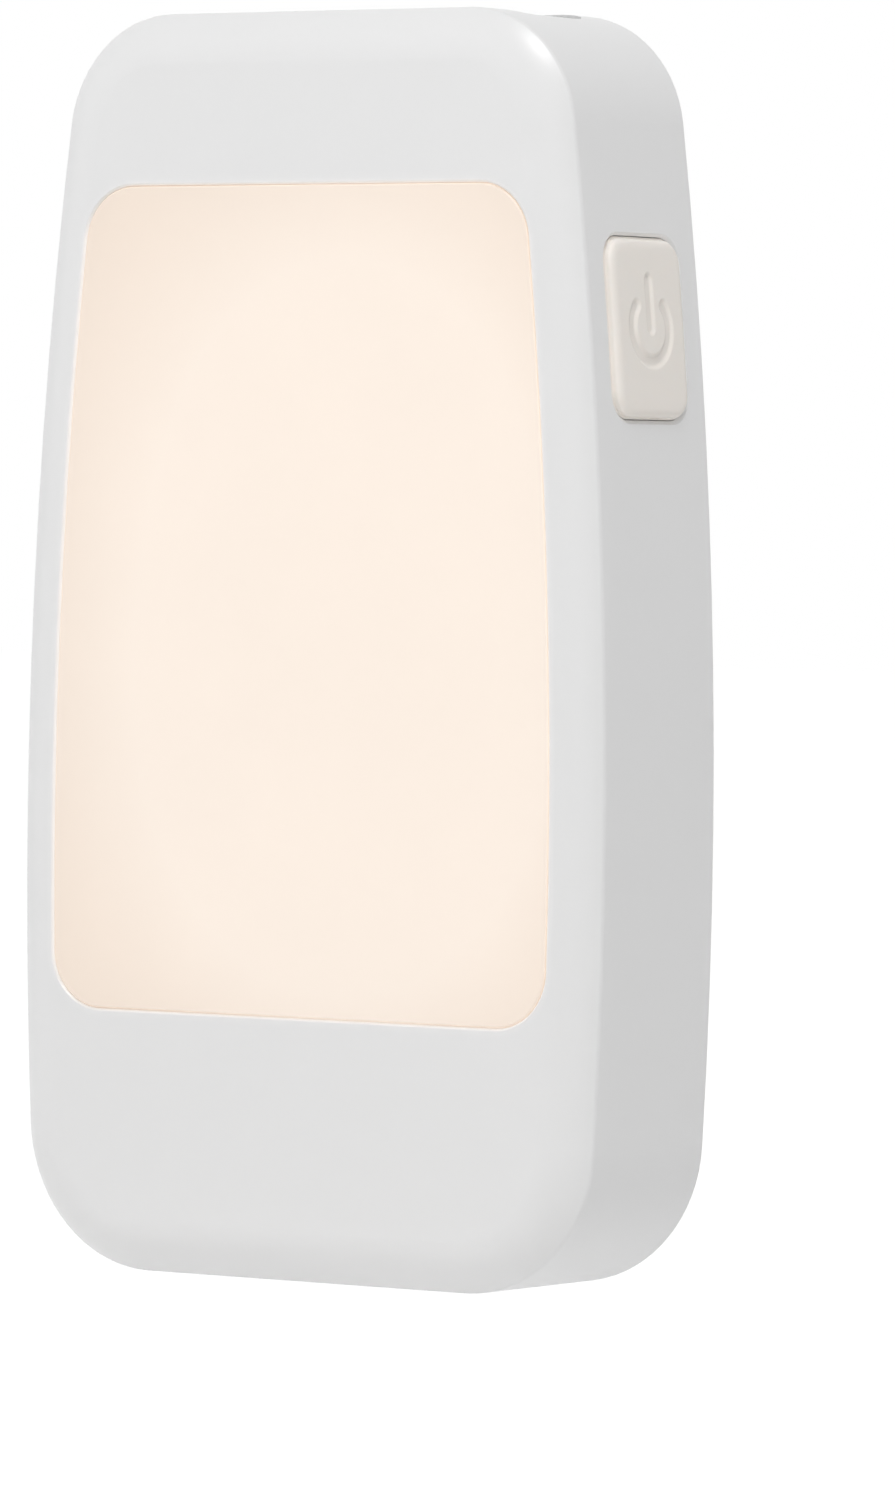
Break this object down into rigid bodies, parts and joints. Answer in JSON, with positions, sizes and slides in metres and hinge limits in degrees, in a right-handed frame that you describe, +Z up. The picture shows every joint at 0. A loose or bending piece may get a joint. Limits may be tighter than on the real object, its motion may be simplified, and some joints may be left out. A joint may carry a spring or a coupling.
{
  "type": "plug in night light",
  "caption": "Slim upright plug-in night light with a large lit diffuser, a side push button, a torch window on top and a fold-away plug at the back.",
  "frame": {"origin": "on the wall plane, midway between the two plug blades", "axes": "+Z up, the lit front faces -Y, the blades point along +Y into the outlet, +X to the right of a person facing the front"},
  "size_m": [0.067, 0.0394, 0.1209],
  "materials": {
    "white_abs": "satin",
    "white_block": "satin",
    "milky_diffuser": "satin, lit warm white",
    "tray_white": "gloss",
    "clear_lens": "clear",
    "plated_reflector": "mirror plated",
    "white_board": "solder mask",
    "green_board": "solder mask",
    "led_package": "encapsulated",
    "clear_sensor": "encapsulated",
    "soft_button": "soft matte",
    "switch_black": "matte",
    "nickel_brass": "nickel plated",
    "spring_bronze": "rolled",
    "spring_steel": "rolled",
    "plated_screws": "zinc plated",
    "film_case": "moulded box",
    "can_sleeve": "shrink sleeve",
    "black_epoxy": "moulded",
    "resistor_coat": "lacquer",
    "ferrite": "sintered",
    "battery_foil": "foil pouch",
    "foam_tape": "foam",
    "nylon": "moulded",
    "wire_red": "extruded",
    "wire_white": "extruded"
  },
  "bodies": {
    "case": {"front_housing": "white_abs", "front_diffuser": "milky_diffuser", "flashlight_lens": "clear_lens", "rear_cover": "white_abs", "plug_retainer": "white_block", "reflector_tray": "tray_white", "led_board": "white_board", "night_leds": "led_package", "light_sensor": "clear_sensor", "flashlight_reflector": "plated_reflector", "flashlight_board": "white_board", "flashlight_leds": "led_package", "main_board": "green_board", "film_capacitor": "film_case", "electrolytic_capacitors": "can_sleeve", "bridge_rectifier": "black_epoxy", "fuse_resistor": "resistor_coat", "power_inductor": "ferrite", "controller_chip": "black_epoxy", "battery_cell": "battery_foil", "battery_tape": "foam_tape", "battery_socket": "nylon", "battery_leads": "wire_red", "led_leads": "wire_white", "flashlight_leads": "wire_white", "contact_spring_left": "spring_bronze", "contact_spring_right": "spring_bronze", "detent_spring": "spring_steel", "switch_body": "switch_black", "housing_screws": "plated_screws", "board_screws": "plated_screws", "retainer_screws": "plated_screws"},
    "plug": {"plug_block": "white_block", "plug_blade_left": "nickel_brass", "plug_blade_right": "nickel_brass"},
    "button": {"power_button": "soft_button", "switch_plunger": "switch_black"}
  },
  "joints": [
    {"name": "plug_fold", "type": "hinge", "parent": "case", "child": "plug", "pos_m": [0, -0.0039, 0], "axis": [1, 0, 0], "range_deg": [-90, 0]},
    {"name": "button_press", "type": "slide", "parent": "case", "child": "button", "axis": [-1, 0, 0], "range_m": [0, 0.0005], "stiffness_N_per_m": 600}
  ]
}
